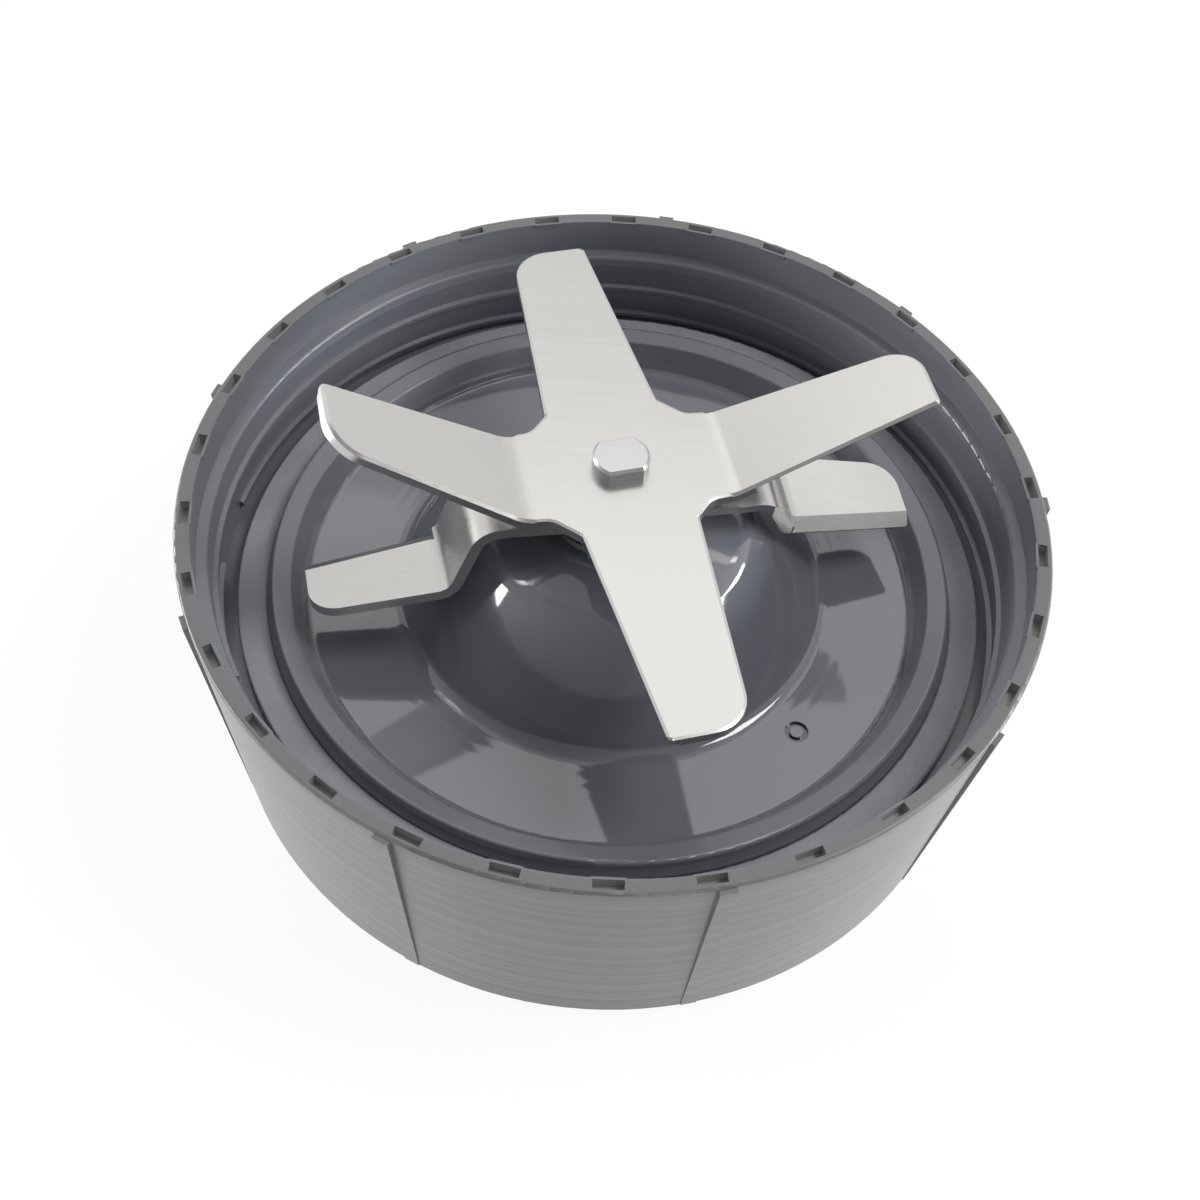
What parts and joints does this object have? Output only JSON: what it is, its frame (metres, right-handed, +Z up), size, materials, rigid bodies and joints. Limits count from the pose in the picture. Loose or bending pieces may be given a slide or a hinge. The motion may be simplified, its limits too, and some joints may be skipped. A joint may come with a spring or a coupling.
{
  "type": "blender blade assembly",
  "caption": "Threaded plastic blade holder of a personal blender, with a gasket and a sealed spindle that carries stacked bent steel blades above and a drive cog below.",
  "frame": {"origin": "on the spindle axis, in the plane of the skirt's foot", "axes": "+Z up the spindle axis from the drive cog to the blades; -Y faces the viewer of the picture"},
  "size_m": [0.0977, 0.0978, 0.053],
  "materials": {
    "holder_plastic": "satin moulded skirt, polished inside",
    "gasket_silicone": "matte silicone",
    "blade_steel": "fine satin with ground edges",
    "turned_steel": "turned",
    "spring_steel": "dark spring steel",
    "bush_bronze": "sintered",
    "seal_rubber": "moulded rubber",
    "felt": "oiled felt",
    "washer_nylon": "plain nylon",
    "cog_plastic": "glass-filled nylon"
  },
  "bodies": {
    "holder": {"blade_holder": "holder_plastic", "sealing_gasket": "gasket_silicone", "bearing_sleeve": "turned_steel", "sleeve_ring": "seal_rubber", "lower_bush": "bush_bronze", "upper_bush": "bush_bronze", "oil_felt": "felt", "upper_thrust_washer": "washer_nylon", "shaft_seal": "seal_rubber"},
    "spindle": {"drive_shaft": "turned_steel", "slinger_washer": "blade_steel", "lower_thrust_washer": "washer_nylon", "retaining_clip": "spring_steel", "drive_cog": "cog_plastic", "cog_insert": "turned_steel", "screw_washer": "turned_steel", "cog_screw": "turned_steel", "blade_spacer": "blade_steel", "upper_blade": "blade_steel", "lower_blade": "blade_steel"}
  },
  "joints": [
    {"name": "spindle_spin", "type": "hinge", "parent": "holder", "child": "spindle", "pos_m": [0, 0, 0], "axis": [0, 0, 1], "continuous": true}
  ]
}
